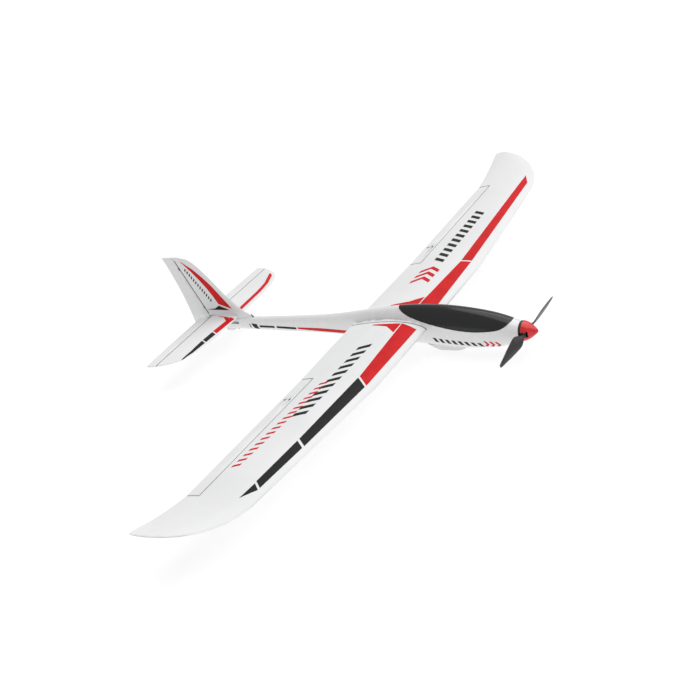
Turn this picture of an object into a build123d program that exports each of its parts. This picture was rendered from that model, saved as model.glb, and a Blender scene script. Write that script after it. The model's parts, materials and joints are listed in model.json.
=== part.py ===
# A motor glider of 1.6 m span: foam wings and tail on a moulded plastic fuselage,
# with a folding propeller, four servo-driven control surfaces and a lift-off canopy.
# +X points to the nose, +Y to the left wing tip and +Z up. The origin is under the middle
# of the length and span, on the sole of the belly skid.
import os
from math import cos, pi, radians, sin, sqrt

from build123d import *

os.makedirs("parts", exist_ok=True)

# ---------------------------------------------------------------- driving dimensions (mm)
overall_length = 967.0
thrust_height = 50.0  # thrust line above the sole of the belly skid
half_span = 800.0
wall = 1.5  # fuselage and canopy skin
gap = 0.35  # open gap round every moving piece
fit = 0.05  # radial clearance of a pin in its bore

spinner_length = 30.0
spinner_radius = 21.5
prop_radius = 137.0
blade_pin_station = 24.0
blade_pin_offset = 17.0

wing_root = 31.5  # half width at which the foam wing panels begin
stub_face = 29.3  # half width of the moulded wing seats on the fuselage
aileron_hinge_station = 405.0
aileron_inner, aileron_outer = 249.0, 649.0
aileron_link = 16.0  # length of aileron servo arm and of its horn
aileron_link_span = 327.0
aileron_servo_station = 345.0

stab_height = 23.0
stab_half_span = 236.0
elevator_hinge_station = 871.5
elevator_root = 18.0
tail_link = 14.0  # length of the tail servo arms and their horns
rudder_foot_height = -12.0
rudder_hinge_foot_station = 870.5
rudder_hinge_lean = 0.3172  # the hinge line runs back this far for each unit of height
tail_servo_station = 362.0
rudder_rod_height = 8.0
rod_radius = 0.8

joiner_station, joiner_height, joiner_radius, joiner_half = 322.0, 22.0, 4.0, 285.0
peg_station, peg_height, peg_radius = 395.0, 21.5, 1.5
wing_bolt_station, wing_bolt_height = 272.0, 18.0
tail_bolt_stations = (802.0, 848.0)
bolt_radius, bolt_hole_radius, bolt_head_radius = 1.5, 1.6, 2.8
tail_bolt_seat = -11.6  # height of the face the tail bolts' heads bear on


def fore(station):
    """X of a point this far behind the spinner tip."""
    return overall_length / 2 - station


def up(height):
    """Z of a point this far above the thrust line."""
    return thrust_height + height


def save(piece, name):
    piece.part.label = name
    export_step(piece.part, "parts/" + name + ".step")


def cross_plane(station, height=0.0):
    """A plane across the fuselage; its sketch x is +Y and its normal points to the nose."""
    return Plane(origin=(fore(station), 0, up(height)), x_dir=(0, 1, 0), z_dir=(1, 0, 0))


def rib_plane(span):
    """A plane along the fuselage at a span station; its sketch x is +X and y is +Z."""
    return Plane(origin=(0, span, 0), x_dir=(1, 0, 0), z_dir=(0, -1, 0))


def level_plane(height):
    return Plane(origin=(0, 0, up(height)), x_dir=(1, 0, 0), z_dir=(0, 0, 1))


# ---------------------------------------------------------------- shared section formula
def half_thickness(share):
    """Half thickness of a symmetric aerofoil of unit thickness, with a blunt trailing edge."""
    return 5 * (0.2969 * sqrt(share) - 0.126 * share - 0.3516 * share**2
                + 0.2843 * share**3 - 0.0975 * share**4)


def camber_line(share, camber):
    peak = 0.4
    if share < peak:
        return camber / peak**2 * (2 * peak * share - share**2)
    return camber / (1 - peak) ** 2 * (1 - 2 * peak + 2 * peak * share - share**2)


def aerofoil(plane, nose, tail, thickness, camber=0.0, steps=11):
    """An aerofoil face on a plane, between the nose and tail points given on it."""
    chord = nose[0] - tail[0]
    upper, lower = [], []
    for step in range(steps + 1):
        share = (1 - cos(pi * step / steps)) / 2
        middle = nose[1] + (tail[1] - nose[1]) * share + camber_line(share, camber) * chord
        half = half_thickness(share) * thickness + 0.35 * share
        upper.append((nose[0] - chord * share, middle + half))
        lower.append((nose[0] - chord * share, middle - half))
    with BuildSketch(plane) as outline:
        with BuildLine():
            Spline(*upper)
            Spline(*lower)
            Line(upper[-1], lower[-1])
        make_face()
    return outline.sketch


# ---------------------------------------------------------------- fuselage and canopy
# station, half width, top height, bottom height
body_sections = [
    (36, 21.5, 21.3, -22.0),
    (60, 25.5, 29.8, -29.7),
    (95, 29.5, 40.8, -37.8),
    (140, 31.5, 49.6, -41.4),
    (190, 31.5, 56.0, -43.0),
    (240, 29.0, 58.6, -39.6),
    (290, 25.0, 58.2, -35.2),
    (340, 21.0, 54.3, -33.4),
    (400, 17.5, 46.5, -28.6),
    (470, 14.5, 36.3, -22.3),
    (560, 12.5, 28.0, -17.8),
    (650, 11.6, 23.8, -16.0),
    (740, 11.0, 20.2, -13.9),
    (820, 10.2, 19.3, -12.2),
    (890, 8.8, 19.0, -10.5),
]
tail_post_station = 850.0  # the boom is solid behind this


def body_loft(inset=0.0):
    """The fuselage's smooth outer form, or the hollow inside it when inset is the wall."""
    with BuildPart() as form:
        for station, half_width, top, bottom in body_sections:
            if inset and station > tail_post_station:
                station, half_width, top, bottom = tail_post_station, 9.5, 19.1, -11.5
            ahead = 0.5 if inset and station == body_sections[0][0] else 0
            with BuildSketch(cross_plane(station - ahead, (top + bottom) / 2)):
                Ellipse(half_width - inset, (top - bottom) / 2 - inset)
        loft()
    return form.part


def canopy_region(lift=0.0):
    """Everything above the canopy's edge line, as seen from the side."""
    edge = [(44, 31), (53, 25.3), (70, 16.3), (95, 12.2), (129, 11.2), (164, 13.6),
            (205, 20), (247, 28.5), (277, 36.5), (302, 46), (318, 56), (324, 62)]
    points = [(fore(station), up(height + lift)) for station, height in edge]
    with BuildPart() as region:
        with BuildSketch(rib_plane(0)):
            with BuildLine():
                Spline(*points)
                Polyline(points[-1], (points[-1][0], up(90)), (points[0][0], up(90)), points[0])
            make_face()
        extrude(amount=50, both=True)
    return region.part


def hinge_station(height):
    """Station of the rudder's hinge line at a height."""
    return rudder_hinge_foot_station + rudder_hinge_lean * (height - rudder_foot_height)


outer_form = body_loft()
inner_form = body_loft(wall)

# wing sections: span, leading and trailing edge stations, their heights, thickness
wing_sections = [
    (wing_root, 245.5, 438.5, 15.0, 20.0, 23.0),
    (249, 247.0, 436.5, 15.5, 20.0, 20.5),
    (649, 282.0, 437.0, 24.0, 28.5, 15.5),
    (679, 290.5, 438.5, 25.0, 32.0, 13.5),
    (705, 299.5, 440.0, 28.0, 36.5, 12.0),
    (730, 311.5, 441.5, 34.0, 41.5, 10.5),
    (753, 328.0, 442.5, 40.5, 47.5, 9.0),
    (771, 347.0, 443.5, 47.0, 53.0, 7.5),
    (786, 369.5, 444.5, 53.5, 57.0, 6.0),
    (796, 395.0, 444.0, 58.5, 60.0, 4.5),
    (half_span, 414.0, 438.0, 61.0, 61.0, 3.0),
]
wing_camber = 0.028


def wing_outline(section, span):
    _, nose_station, tail_station, nose_height, tail_height, thickness = section
    return aerofoil(rib_plane(span), (fore(nose_station), up(nose_height)),
                    (fore(tail_station), up(tail_height)), thickness, wing_camber)


def seat_block(side):
    """One moulded wing seat: the root aerofoil carried in to the fuselage's side."""
    with BuildPart() as seat:
        extrude(wing_outline(wing_sections[0], side * stub_face), amount=side * 14)
    return seat.part


def bore(centre, axis, radius, length):
    """A plain round cutter, centred on a point, for holes through several pieces."""
    cutter = Cylinder(radius, length, mode=Mode.PRIVATE)
    return Plane(origin=centre, z_dir=axis) * cutter


# pushrod exits on the boom: side, height, middle station and length
rod_slots = [(-1, rudder_rod_height, 811.0, 46.0), (1, stab_height - tail_link + 0.5, 806.0, 56.0)]
slot_width = 5.0

# shelves under the canopy that carry its magnets: first and last station, top height
magnet_shelves = [(55, 65, 17.0), (299, 313, 44.0)]
magnet_radius, magnet_height = 3.0, 2.0


def shelf_block(shelf):
    first, last, top = shelf
    with BuildPart() as block:
        with BuildSketch(level_plane(top)):
            with Locations((fore((first + last) / 2), 0)):
                Rectangle(last - first, 80)
        extrude(amount=-1.8)
        add(inner_form, mode=Mode.INTERSECT)
    return block.part


def canopy_post(shelf):
    """The canopy's own magnet holder, above a shelf of the fuselage."""
    first, last, top = shelf
    with BuildPart() as post:
        with BuildSketch(level_plane(top + 2 * magnet_height + 0.5)):
            with Locations((fore((first + last) / 2), 0)):
                Circle(magnet_radius + 1.2)
        extrude(amount=20)
        add(inner_form, mode=Mode.INTERSECT)
    return post.part


with BuildPart() as fuselage_shell:
    add(outer_form)
    add(seat_block(1))
    add(seat_block(-1))
    add(inner_form, mode=Mode.SUBTRACT)
    add(canopy_region(), mode=Mode.SUBTRACT)
    for shelf in magnet_shelves:
        add(shelf_block(shelf))
    # the tail post is cut off just ahead of the rudder, parallel to its hinge
    with BuildSketch(rib_plane(0)):
        with BuildLine():
            foot, head = -40, 60
            Polyline((fore(hinge_station(foot) - 4), up(foot)), (fore(930), up(foot)),
                     (fore(930), up(head)), (fore(hinge_station(head) - 4), up(head)), close=True)
        make_face()
    extrude(amount=30, both=True, mode=Mode.SUBTRACT)
    # seat for the tailplane across the top of the boom
    with BuildSketch(level_plane(stab_height - 4.2)):
        with Locations((fore(835), 0)):
            Rectangle(100, 40)
    extrude(amount=10, mode=Mode.SUBTRACT)
    # pushrod exits, one on each side of the boom
    for side, height, station, length in rod_slots:
        with BuildSketch(Plane(origin=(fore(station), 0, up(height)), x_dir=(1, 0, 0),
                               z_dir=(0, side, 0))):
            SlotOverall(length, slot_width)
        extrude(amount=20, mode=Mode.SUBTRACT)
    # holes for the wing joiner, locating pegs, wing bolts and tail bolts
    add(bore((fore(joiner_station), 0, up(joiner_height)), (0, 1, 0), joiner_radius + fit, 80),
        mode=Mode.SUBTRACT)
    add(bore((fore(peg_station), 0, up(peg_height)), (0, 1, 0), peg_radius + fit, 80),
        mode=Mode.SUBTRACT)
    add(bore((fore(wing_bolt_station), 0, up(wing_bolt_height)), (0, 1, 0), bolt_hole_radius, 80),
        mode=Mode.SUBTRACT)
    for station in tail_bolt_stations:
        add(bore((fore(station), 0, up(0)), (0, 0, 1), bolt_hole_radius, 60), mode=Mode.SUBTRACT)
        add(bore((fore(station), 0, up(tail_bolt_seat - 3)), (0, 0, 1), bolt_head_radius + 0.3, 6),
            mode=Mode.SUBTRACT)
save(fuselage_shell, "fuselage_shell")

with BuildPart() as canopy:
    add(outer_form)
    add(inner_form, mode=Mode.SUBTRACT)
    add(canopy_region(gap), mode=Mode.INTERSECT)
    for shelf in magnet_shelves:
        add(canopy_post(shelf))
save(canopy, "canopy")


def magnet_pair(raised):
    """The two disc magnets of one side of the catch; raised ones belong to the canopy."""
    lift = magnet_height + 0.5 if raised else 0
    with BuildPart() as magnets:
        for first, last, top in magnet_shelves:
            with BuildSketch(level_plane(top + lift)):
                with Locations((fore((first + last) / 2), 0)):
                    Circle(magnet_radius)
            extrude(amount=magnet_height)
    return magnets


save(magnet_pair(False), "hatch_magnets")
save(magnet_pair(True), "canopy_magnets")


def keel_piece(outline, half_width, rounding, name):
    """A skid under the fuselage, from its side outline of (station, height) points."""
    points = [(fore(station), up(height)) for station, height in outline]
    with BuildPart() as skid:
        with BuildSketch(rib_plane(0)):
            with BuildLine():
                Polyline(*points, close=True)
            make_face()
        extrude(amount=half_width, both=True)
        fillet(skid.edges().filter_by(Axis.Z, reverse=True).filter_by(
            lambda edge: edge.center().Z < up(outline[0][1]) and edge.length > rounding), rounding)
        add(outer_form, mode=Mode.SUBTRACT)
    save(skid, name)


keel_piece([(166, -36), (180, -45.5), (190, -48.8), (200, -50), (234, -50), (243, -48.4), (254, -43),
            (268, -34)], 12, 4, "belly_skid")
keel_piece([(804, -8), (812, -14.5), (818, -17.5), (832, -18.5), (839, -17.5), (844, -8)], 3.2, 1.2,
           "tail_skid")

# ---------------------------------------------------------------- motor
motor_plate_station = 38.2
screw_circle = 9.5


with BuildPart() as motor_mount:
    with BuildSketch(cross_plane(motor_plate_station + 2)):
        Circle(20)
        Circle(5, mode=Mode.SUBTRACT)
        with PolarLocations(screw_circle, 4, start_angle=45):
            Circle(bolt_hole_radius, mode=Mode.SUBTRACT)
    extrude(amount=2)
save(motor_mount, "motor_mount")

shaft_radius = 2.0
with BuildPart() as motor_stator:
    with BuildSketch(cross_plane(43.0)):
        Circle(12)
        with PolarLocations(screw_circle, 4, start_angle=45):
            Circle(bolt_hole_radius, mode=Mode.SUBTRACT)
    extrude(amount=43.0 - motor_plate_station - 2.1)
    with BuildSketch(cross_plane(62.0)):
        Circle(4.6)
    extrude(amount=19)
    with BuildSketch(cross_plane(61.0)):
        Circle(11.8)
        with PolarLocations(9.4, 12):
            Rectangle(6.2, 1.6, mode=Mode.SUBTRACT)
    extrude(amount=14)
    add(bore((fore(50), 0, up(0)), (1, 0, 0), shaft_radius + fit, 60), mode=Mode.SUBTRACT)
save(motor_stator, "motor_stator")

# the can, its end bell and the shaft: first and last station, outer and inner radius
rotor_rings = [(45, 64, 14, 12.5), (64, 66.5, 14, 0), (8, 64, shaft_radius, 0)]
with BuildPart() as motor_rotor:
    for first, last, outer, inner in rotor_rings:
        with BuildSketch(cross_plane(last)):
            Circle(outer)
            if inner:
                Circle(inner, mode=Mode.SUBTRACT)
        extrude(amount=last - first)
    with BuildSketch(cross_plane(66.5)):
        with PolarLocations(8.5, 6):
            Circle(2.6)
    extrude(amount=2.5, mode=Mode.SUBTRACT)
save(motor_rotor, "motor_rotor")

with BuildPart() as motor_screws:
    with BuildSketch(cross_plane(motor_plate_station)):
        with PolarLocations(screw_circle, 4, start_angle=45):
            Circle(2.7)
    extrude(amount=1.7)
    with BuildSketch(cross_plane(42.8)):
        with PolarLocations(screw_circle, 4, start_angle=45):
            Circle(bolt_radius)
    extrude(amount=42.8 - motor_plate_station)
save(motor_screws, "motor_screws")

# ---------------------------------------------------------------- propeller
with BuildPart() as spinner:
    with BuildSketch(rib_plane(0)):
        with BuildLine():
            inside = spinner_radius - 1.3
            Spline((fore(0), up(0)), (fore(3.2), up(5.6)), (fore(14), up(14.2)),
                   (fore(spinner_length), up(spinner_radius)),
                   tangents=((0, 1), (-1, 0.25)))
            Line((fore(spinner_length), up(spinner_radius)), (fore(spinner_length), up(inside)))
            Spline((fore(spinner_length), up(inside)), (fore(14), up(12.4)), (fore(5), up(5)),
                   (fore(3), up(0)), tangents=((1, -0.25), (0, -1)))
            Line((fore(3), up(0)), (fore(0), up(0)))
        make_face()
    revolve(axis=Axis((0, 0, up(0)), (1, 0, 0)))
    # blade openings on both sides, open to the back
    with BuildSketch(cross_plane(spinner_length + 1)):
        with Locations((18, 0), (-18, 0)):
            Rectangle(20, 12.8)
    extrude(amount=14.5, mode=Mode.SUBTRACT)
save(spinner, "spinner")

plate_station = 34.4
with BuildPart() as spinner_backplate:
    with BuildSketch(cross_plane(plate_station)):
        Circle(spinner_radius)
        Circle(shaft_radius + fit, mode=Mode.SUBTRACT)
        with Locations((20, 0), (-20, 0)):
            Rectangle(14, 13.4, mode=Mode.SUBTRACT)
    extrude(amount=plate_station - spinner_length)
save(spinner_backplate, "spinner_backplate")

pin_x = fore(blade_pin_station)
with BuildPart() as prop_hub:
    with BuildSketch(cross_plane(spinner_length)):
        Circle(6)
    extrude(amount=spinner_length - 12)
    for level in (3.3, -5.1):
        with BuildSketch(level_plane(level)):
            with Locations((pin_x, 0)):
                Circle(6)
            with Locations((pin_x, blade_pin_offset), (pin_x, -blade_pin_offset)):
                Circle(3.8)
            make_hull()
        extrude(amount=1.8)
    add(bore((fore(20), 0, up(0)), (1, 0, 0), shaft_radius + fit, 40), mode=Mode.SUBTRACT)
    for side in (1, -1):
        add(bore((pin_x, side * blade_pin_offset, up(0)), (0, 0, 1), bolt_radius + fit, 20),
            mode=Mode.SUBTRACT)
save(prop_hub, "prop_hub")

with BuildPart() as prop_nut:
    with BuildSketch(cross_plane(11.9)):
        RegularPolygon(4, 6)
        Circle(shaft_radius + fit, mode=Mode.SUBTRACT)
    extrude(amount=3)
save(prop_nut, "prop_nut")

with BuildPart() as blade_pins:
    for side in (1, -1):
        with BuildSketch(level_plane(-5.6)):
            with Locations((pin_x, side * blade_pin_offset)):
                Circle(bolt_radius)
        extrude(amount=10.7)
        with BuildSketch(level_plane(5.1)):
            with Locations((pin_x, side * blade_pin_offset)):
                Circle(2.3)
        extrude(amount=1)
save(blade_pins, "blade_pins")

# radius from the thrust line, chord, pitch angle, thickness
blade_sections = [(24, 9.5, 48, 4.4), (33, 16, 42, 3.4), (43, 23.5, 36, 2.8), (54, 25.5, 31, 2.4),
                  (78, 21.5, 25, 2.0), (102, 16, 21, 1.6), (122, 10.5, 18, 1.2), (132, 7.5, 17, 1.0),
                  (prop_radius, 4.5, 16, 0.8)]


def blade(side):
    """One folding blade; it climbs on the left side and falls on the right."""
    faces = []
    for radius, chord, pitch, thickness in blade_sections:
        rise, run = side * cos(radians(pitch)), sin(radians(pitch))
        section_plane = Plane(origin=(pin_x, side * radius, up(0)), x_dir=(run, 0, rise),
                              z_dir=(0, -1, 0))
        faces.append(aerofoil(section_plane, (0.42 * chord, 0), (-0.58 * chord, 0), thickness,
                              -side * 0.04, 7))
    with BuildPart() as piece:
        loft(faces)
        with BuildSketch(level_plane(-3.1)):
            with Locations((pin_x, side * blade_pin_offset)):
                Circle(3.8)
            with Locations((pin_x, side * (blade_pin_offset + 7.5))):
                Circle(2.6)
            make_hull()
        extrude(amount=6.2)
        add(bore((pin_x, side * blade_pin_offset, up(0)), (0, 0, 1), bolt_radius + fit, 20),
            mode=Mode.SUBTRACT)
    return piece


save(blade(1), "blade_left")
save(blade(-1), "blade_right")

# ---------------------------------------------------------------- equipment in the nose
tray_height = -12.5
pack_length, pack_width, pack_height = 72.0, 34.0, 24.0
pack_station = 136.0


def rounded_box(station, bottom, length, width, height, rounding):
    with BuildPart() as box:
        with BuildSketch(level_plane(bottom)):
            with Locations((fore(station), 0)):
                RectangleRounded(length, width, rounding)
        extrude(amount=height)
        chamfer(box.faces().sort_by(Axis.Z)[-1].edges(), rounding / 3)
    return box


save(rounded_box(96, -26, 44, 22, 8, 1.5), "speed_controller")
save(rounded_box(pack_station, tray_height, pack_length, pack_width, pack_height, 3), "battery")
save(rounded_box(214, tray_height, 38, 22, 12, 1.5), "receiver")

strap_width, strap_thickness = 18.0, 1.2
strap_half = pack_width / 2 + 0.1
with BuildPart() as battery_tray:
    with BuildSketch(level_plane(tray_height - 2)):
        with Locations((fore(165), 0)):
            RectangleRounded(170, 42, 5)
        for side in (1, -1):
            with Locations((fore(pack_station), side * (strap_half + strap_thickness / 2))):
                Rectangle(strap_width + 1, strap_thickness + 0.4, mode=Mode.SUBTRACT)
    extrude(amount=2)
save(battery_tray, "battery_tray")

with BuildPart() as battery_strap:
    middle = tray_height - 2.1 + (pack_height + 2.2) / 2
    with BuildSketch(cross_plane(pack_station + strap_width / 2, middle)):
        Rectangle(2 * (strap_half + strap_thickness), pack_height + 2.2 + 2 * strap_thickness)
        Rectangle(2 * strap_half, pack_height + 2.2, mode=Mode.SUBTRACT)
    extrude(amount=strap_width)
save(battery_strap, "battery_strap")

# ---------------------------------------------------------------- servos and linkages
servo_length, servo_width, servo_case = 23.0, 12.2, 22.0
shaft_offset = 5.6  # output shaft behind the middle of the case
arm_clearance = 3.2  # from the case's top to the arm
arm_thickness = 1.6
spline_radius = 2.3


def servo(output):
    """A small servo; output is the plane of its shaft at the case's top, x along the case."""
    with BuildPart() as case:
        with BuildSketch(output.offset(-servo_case)):
            with Locations((shaft_offset, 0)):
                RectangleRounded(servo_length, servo_width, 0.8)
        extrude(amount=servo_case)
        with BuildSketch(output.offset(-7)):
            with Locations((shaft_offset, 0)):
                RectangleRounded(servo_length + 9.5, servo_width, 1)
                with Locations((servo_length / 2 + 2.6, 0), (-servo_length / 2 - 2.6, 0)):
                    Circle(1.1, mode=Mode.SUBTRACT)
        extrude(amount=2)
        with BuildSketch(output):
            Circle(5.6)
            with Locations((5.5, 0)):
                Circle(3)
        extrude(amount=2.2)
        with BuildSketch(output):
            Circle(spline_radius)
        extrude(amount=arm_clearance + arm_thickness)
    return case


def servo_arm(output, direction, length):
    """An arm on the output shaft; direction is its heading on the output plane, in degrees."""
    end = (length * cos(radians(direction)), length * sin(radians(direction)))
    with BuildPart() as arm:
        with BuildSketch(output.offset(arm_clearance)):
            Circle(3.7)
            with Locations(end):
                Circle(2.2)
            make_hull()
            Circle(spline_radius + fit, mode=Mode.SUBTRACT)
            with Locations(end):
                Circle(rod_radius + fit, mode=Mode.SUBTRACT)
        extrude(amount=arm_thickness)
    return arm


def pushrod(points, bends):
    """A bent wire through the points, with one bend radius for each corner."""
    with BuildPart() as rod:
        with BuildLine() as route:
            FilletPolyline(*points, radius=bends)
        start = route.line @ 0
        with BuildSketch(Plane(origin=start, z_dir=route.line % 0)):
            Circle(rod_radius)
        sweep(path=route.line)
    return rod


def control_horn(hinge_x, hinge_z, span, link, pins):
    """A horn below a surface: its eye is straight under the hinge; pins are (x, top) pairs."""
    with BuildPart() as horn:
        with BuildSketch(rib_plane(span + arm_thickness / 2)):
            with Locations((hinge_x, hinge_z - link)):
                Circle(2.5)
            with Locations((hinge_x - 5, hinge_z - 4.5), (hinge_x - 22, hinge_z - 3.5)):
                Circle(0.8)
            make_hull()
            with Locations((hinge_x, hinge_z - link)):
                Circle(rod_radius + 0.35, mode=Mode.SUBTRACT)
        extrude(amount=arm_thickness)
        for pin_place, top in pins:
            with BuildSketch(Plane(origin=(pin_place, span, hinge_z - 4))):
                Circle(1)
            extrude(amount=top - hinge_z + 4)
            with BuildSketch(Plane(origin=(pin_place, span, top - 0.3))):
                Circle(2)
            extrude(amount=1)
        with BuildSketch(Plane(origin=(hinge_x - 13.5, span, hinge_z - 4.6))):
            RectangleRounded(20, 7, 1.5)
        extrude(amount=1.2)
    return horn


# ---------------------------------------------------------------- wings and ailerons
def section_at(span):
    """The wing section at a span station, by straight lines between its neighbours."""
    for inner, outer in zip(wing_sections, wing_sections[1:]):
        if span <= outer[0]:
            share = (span - inner[0]) / (outer[0] - inner[0])
            return [a + (b - a) * share for a, b in zip(inner, outer)]


def wing_surface(station, span):
    """Heights of the wing's lower surface, mean line and upper surface."""
    _, nose, tail, nose_height, tail_height, thickness = section_at(span)
    share = (station - nose) / (tail - nose)
    middle = nose_height + (tail_height - nose_height) * share
    middle += camber_line(share, wing_camber) * (tail - nose)
    half = half_thickness(share) * thickness + 0.35 * share
    return middle - half, middle, middle + half


def surface_prism(origin, direction):
    """A V-nosed prism along a hinge line that cuts a moving surface out of its parent."""
    with BuildPart() as prism:
        with BuildSketch(Plane(origin=origin, x_dir=(1, 0, 0), z_dir=direction)):
            with BuildLine():
                Polyline((0, 0.7), (-3, 5.5), (-60, 12), (-60, -12), (-3, -5.5), (0, -0.7), close=True)
            make_face()
        extrude(amount=Vector(*direction).length)
    return prism.part


def rear_block(x_front, x_back, y_first, y_last, z_low, z_high):
    with BuildPart() as block:
        with BuildSketch(Plane(origin=(0, 0, z_low))):
            with Locations(((x_front + x_back) / 2, (y_first + y_last) / 2)):
                Rectangle(x_front - x_back, abs(y_last - y_first))
        extrude(amount=z_high - z_low)
    return block.part


hinge_gap, end_clearance = 1.4, 1.0
hinge_heights = [wing_surface(aileron_hinge_station, span)[1]
                 for span in (aileron_inner, aileron_outer)]


def hinge_height_at(span):
    share = (span - aileron_inner) / (aileron_outer - aileron_inner)
    return hinge_heights[0] + (hinge_heights[1] - hinge_heights[0]) * share


link_height = hinge_height_at(aileron_link_span)
rod_plane_offset = arm_clearance + arm_thickness / 2

for side, hand in ((1, "left"), (-1, "right")):
    with BuildPart() as wing_form:
        loft([wing_outline(section, side * section[0]) for section in wing_sections], ruled=True)

    # linkage under the wing: the servo lies on its side with the arm pointing down
    case_face = side * (aileron_link_span - rod_plane_offset)
    output = Plane(origin=(fore(aileron_servo_station), case_face, up(link_height)),
                   x_dir=(1, 0, 0), z_dir=(0, side, 0))
    aileron_servo = servo(output)
    save(aileron_servo, "aileron_servo_" + hand)
    save(servo_arm(output, 90 * side, aileron_link), "aileron_arm_" + hand)
    horn_x = fore(aileron_hinge_station)
    pins = [(horn_x - reach, up(wing_surface(aileron_hinge_station + reach, aileron_link_span)[2]))
            for reach in (7, 20)]
    horn = control_horn(horn_x, up(link_height), side * aileron_link_span, aileron_link, pins)
    save(horn, "aileron_horn_" + hand)
    arm_x, rod_z = fore(aileron_servo_station), up(link_height - aileron_link)
    near, far = side * (aileron_link_span - 1.7), side * (aileron_link_span + 3.2)
    save(pushrod([(arm_x, near, rod_z), (arm_x, far, rod_z), (horn_x, far, rod_z),
                  (horn_x, near, rod_z)], [1.6, 1.6]), "aileron_pushrod_" + hand)

    # the aileron is cut from the wing along its hinge line
    first = side * aileron_inner
    run = Vector(0, side * (aileron_outer - aileron_inner), hinge_heights[1] - hinge_heights[0])
    end_gap = run.normalized() * end_clearance
    origin = Vector(fore(aileron_hinge_station), first, up(hinge_heights[0])) + end_gap
    with BuildPart() as aileron:
        add(wing_form.part)
        add(surface_prism(origin, run - end_gap * 2), mode=Mode.INTERSECT)
        add(horn.part, mode=Mode.SUBTRACT)
    save(aileron, "aileron_" + hand)
    with BuildPart() as wing:
        add(wing_form.part)
        add(rear_block(fore(aileron_hinge_station) + hinge_gap, fore(480), first,
                       side * aileron_outer, up(-30), up(90)), mode=Mode.SUBTRACT)
        # pocket for the servo, open below, and a slot for its arm
        case_middle = fore(aileron_servo_station) + shaft_offset
        pocket_top = up(link_height) + servo_width / 2 + 0.3
        inboard = case_face - side * (servo_case + 0.3)
        half_pocket = servo_length / 2 + 5.2
        add(rear_block(case_middle + half_pocket, case_middle - half_pocket, inboard,
                       side * (aileron_link_span + 2.5), up(-20), pocket_top), mode=Mode.SUBTRACT)
        add(bore((fore(joiner_station), side * joiner_half / 2, up(joiner_height)), (0, 1, 0),
                 joiner_radius + fit, joiner_half + 1), mode=Mode.SUBTRACT)
        add(bore((fore(peg_station), side * 30, up(peg_height)), (0, 1, 0), peg_radius + fit, 40.5),
            mode=Mode.SUBTRACT)
        add(bore((fore(wing_bolt_station), side * 30, up(wing_bolt_height)), (0, 1, 0),
                 bolt_radius + fit, 28.5), mode=Mode.SUBTRACT)
    save(wing, "wing_" + hand)

    # a plastic rib closes the wing's root and meets the fuselage's seat
    with BuildPart() as root_rib:
        extrude(wing_outline(wing_sections[0], side * (wing_root - 0.05)), amount=side * 2)
        for station, height, radius in ((joiner_station, joiner_height, joiner_radius + fit),
                                        (peg_station, peg_height, peg_radius + fit),
                                        (wing_bolt_station, wing_bolt_height, bolt_hole_radius)):
            add(bore((fore(station), side * wing_root, up(height)), (0, 1, 0), radius, 20),
                mode=Mode.SUBTRACT)
    save(root_rib, "wing_root_rib_" + hand)

with BuildPart() as wing_joiner:
    with BuildSketch(Plane(origin=(fore(joiner_station), joiner_half, up(joiner_height)),
                           z_dir=(0, 1, 0))):
        Circle(joiner_radius)
        Circle(joiner_radius - 1, mode=Mode.SUBTRACT)
    extrude(amount=-2 * joiner_half)
save(wing_joiner, "wing_joiner")

with BuildPart() as wing_pegs:
    for side in (1, -1):
        add(bore((fore(peg_station), side * 32, up(peg_height)), (0, 1, 0), peg_radius, 35))
save(wing_pegs, "wing_pegs")

with BuildPart() as wing_bolts:
    for side in (1, -1):
        with BuildSketch(Plane(origin=(fore(wing_bolt_station), side * 43, up(wing_bolt_height)),
                               z_dir=(0, side, 0))):
            Circle(bolt_radius)
        extrude(amount=-20)
        with BuildSketch(Plane(origin=(fore(wing_bolt_station), side * 23, up(wing_bolt_height)),
                               z_dir=(0, side, 0))):
            RegularPolygon(3, 6)
        extrude(amount=-2.4)
save(wing_bolts, "wing_bolts")

# ---------------------------------------------------------------- tailplane and elevator
# span, leading and trailing edge stations, thickness
stab_sections = [(0, 785.5, 901.5, 7.6), (110, 786.5, 901, 6.6), (150, 793.5, 900.5, 6.0),
                 (180, 802.5, 900, 5.4), (203, 815, 899.5, 4.8), (218, 834, 899, 4.2),
                 (229, 857, 898.5, 3.6), (234, 877, 898, 3.0), (stab_half_span, 889, 897, 2.4)]
mirrored = [(-span, *rest) for span, *rest in reversed(stab_sections[1:])]
with BuildPart() as tailplane_form:
    loft([aerofoil(rib_plane(span), (fore(nose), up(stab_height)), (fore(tail), up(stab_height)),
                   thickness) for span, nose, tail, thickness in mirrored + stab_sections], ruled=True)

elevator_x = fore(elevator_hinge_station)
elevator_wire_radius = 1.2
wire_x, wire_back = elevator_x - 2.6, elevator_x - 15
wire_points = [(wire_back, 31, up(stab_height)), (wire_x, 31, up(stab_height)),
               (wire_x, -31, up(stab_height)), (wire_back, -31, up(stab_height))]
with BuildPart() as elevator_joiner:
    with BuildLine() as wire_route:
        FilletPolyline(*wire_points, radius=3)
    with BuildSketch(Plane(origin=wire_points[0], z_dir=(1, 0, 0))):
        Circle(elevator_wire_radius)
    sweep(path=wire_route.line)
save(elevator_joiner, "elevator_joiner")

elevator_link_span = 23.0
horn_pins = [(elevator_x - 8, up(stab_height + 2.2)), (elevator_x - 19, up(stab_height + 1.6))]
elevator_horn = control_horn(elevator_x, up(stab_height), elevator_link_span, tail_link, horn_pins)
save(elevator_horn, "elevator_horn")

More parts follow.
